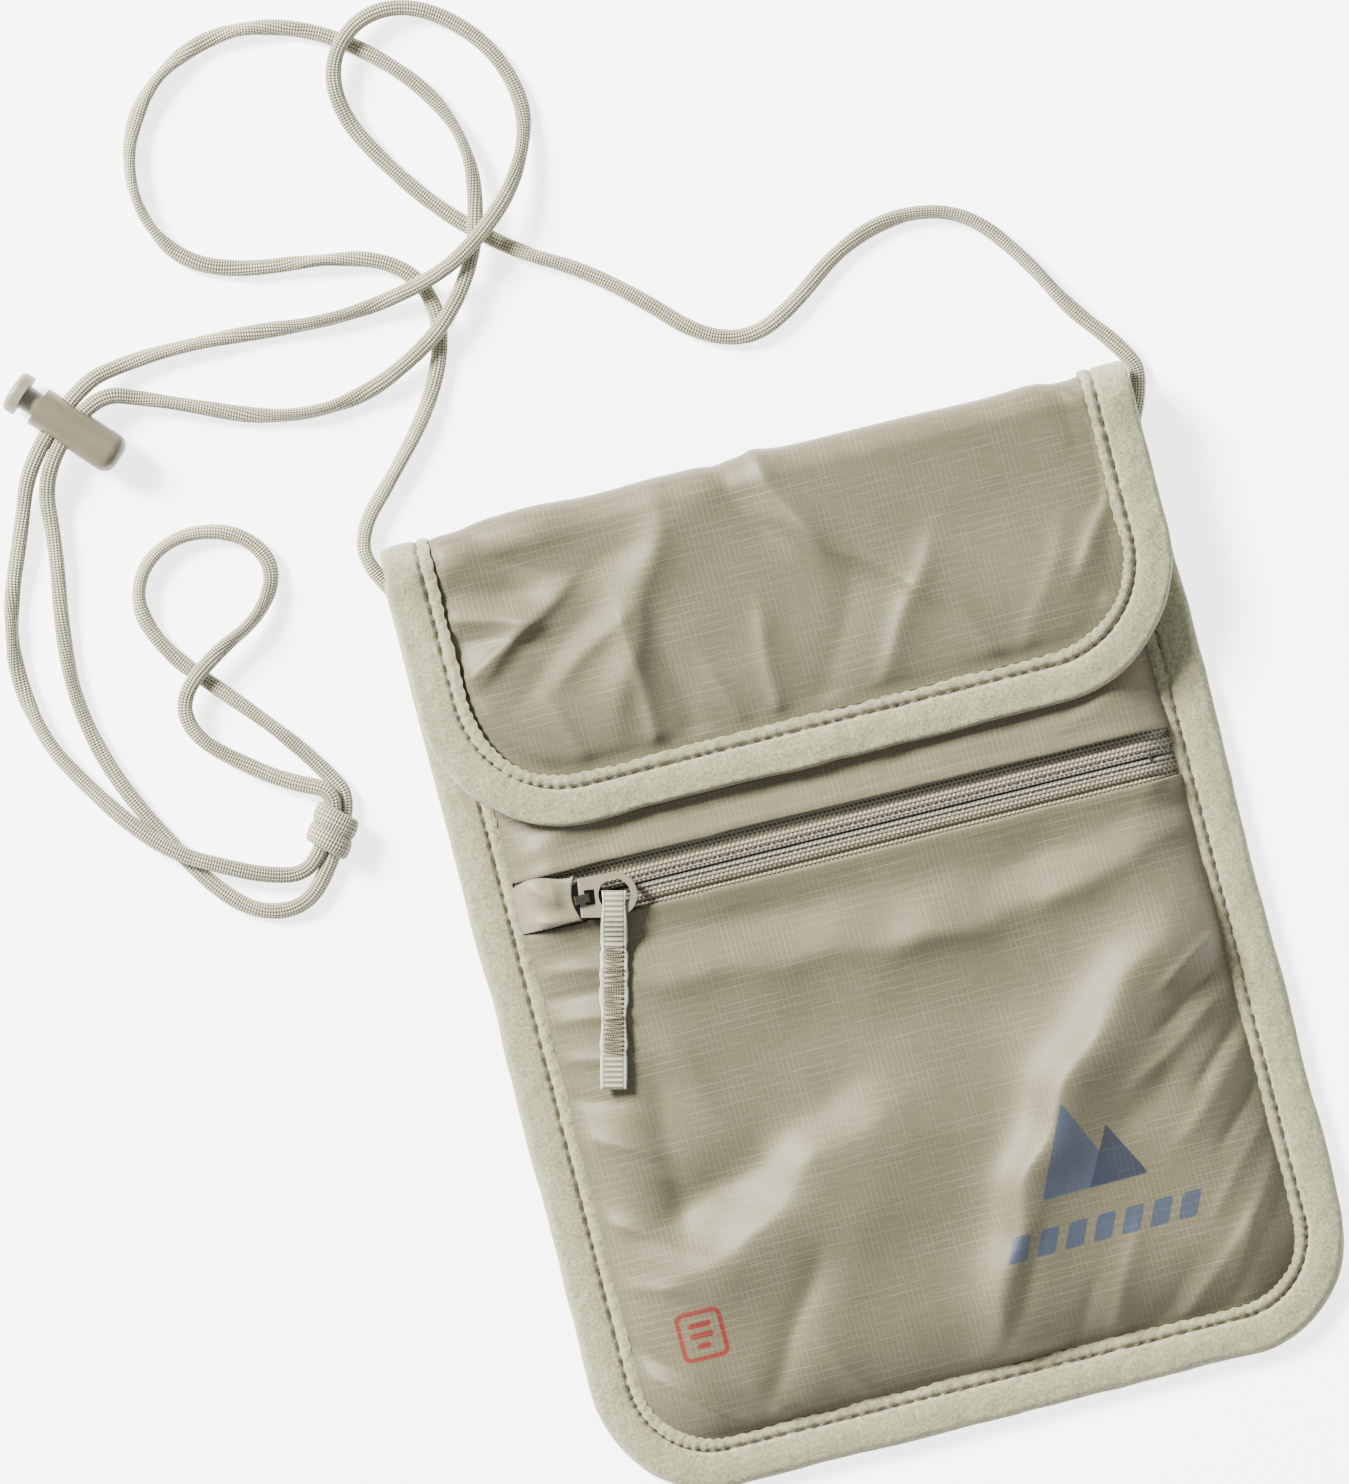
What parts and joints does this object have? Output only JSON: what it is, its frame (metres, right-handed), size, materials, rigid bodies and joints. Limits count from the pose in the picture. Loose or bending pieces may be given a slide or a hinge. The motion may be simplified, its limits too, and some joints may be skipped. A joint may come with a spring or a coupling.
{
  "type": "neck wallet",
  "caption": "Flat cloth neck wallet with bound edges, fold-over flap, front zip pocket and a long neck cord through a push-button lock",
  "frame": {"origin": "under the middle of the pouch, on the surface that its back lies on", "axes": "+Z out of the front of the pouch, +Y from the pouch's bottom edge to the fold of its flap, +X to the right seen from the front"},
  "size_m": [0.213, 0.2793, 0.0114],
  "materials": {
    "ripstop": "satin stone-beige ripstop nylon with a fine raised grid",
    "binding": "brushed matt pale beige binding",
    "back_cloth": "soft matt beige knit",
    "lining": "plain matt beige lining",
    "zip_tape": "matt knitted beige tape",
    "zip_coil": "matt beige nylon coil",
    "slider_metal": "satin beige lacquer",
    "ribbon": "cream ribbed grosgrain",
    "thread": "matt beige thread",
    "hook_and_loop": "matt beige hook and loop tape",
    "cord": "flat braided beige cord with pale flecks",
    "lock_plastic": "satin warm beige moulding",
    "plunger_plastic": "satin pale grey-beige moulding",
    "spring_steel": "bright drawn wire"
  },
  "bodies": {
    "pouch": {"back_panel": "back_cloth", "back_liner": "lining", "flap_yoke": "ripstop", "pocket_divider": "lining", "front_lower_panel": "ripstop", "front_upper_panel": "ripstop", "zip_tape_lower": "zip_tape", "zip_tape_upper": "zip_tape", "zip_coil_lower": "zip_coil", "zip_coil_upper": "zip_coil", "zip_stops": "slider_metal", "zip_garage_tab": "ripstop", "loop_patch": "hook_and_loop", "body_binding": "binding", "body_stitching": "thread", "cord_knot": "cord", "neck_cord": "cord"},
    "flap": {"flap_shell": "ripstop", "flap_lining": "lining", "flap_binding": "binding", "flap_stitching": "thread", "hook_patch": "hook_and_loop"},
    "zip_slider": {"slider_body": "slider_metal"},
    "zip_pull": {"pull_tab": "slider_metal", "pull_ribbon": "ribbon", "ribbon_bartack": "thread"},
    "cord_lock": {"lock_barrel": "lock_plastic", "lock_spring": "spring_steel"},
    "lock_button": {"lock_plunger": "plunger_plastic"}
  },
  "joints": [
    {"name": "flap_hinge", "type": "hinge", "parent": "pouch", "child": "flap", "pos_m": [0, 0.09, 0.0056], "axis": [-1, 0, 0], "range_deg": [0, 140]},
    {"name": "zip_slide", "type": "slide", "parent": "pouch", "child": "zip_slider", "axis": [1, 0, 0], "range_m": [0, 0.102]},
    {"name": "pull_hinge", "type": "hinge", "parent": "zip_slider", "child": "zip_pull", "pos_m": [-0.0493, 0.0202, 0.0099], "axis": [-0.1392, -0.9903, 0], "range_deg": [0, 140], "deforming": ["pull_ribbon", "ribbon_bartack"]},
    {"name": "lock_slide", "type": "slide", "parent": "pouch", "child": "cord_lock", "axis": [-0.7369, -0.676, 0], "range_m": [0, 0.004]},
    {"name": "lock_press", "type": "slide", "parent": "cord_lock", "child": "lock_button", "axis": [0.676, -0.7369, 0], "range_m": [0, 0.0026], "stiffness_N_per_m": 1000, "springref_m": -0.002, "deforming": ["lock_spring"]}
  ]
}
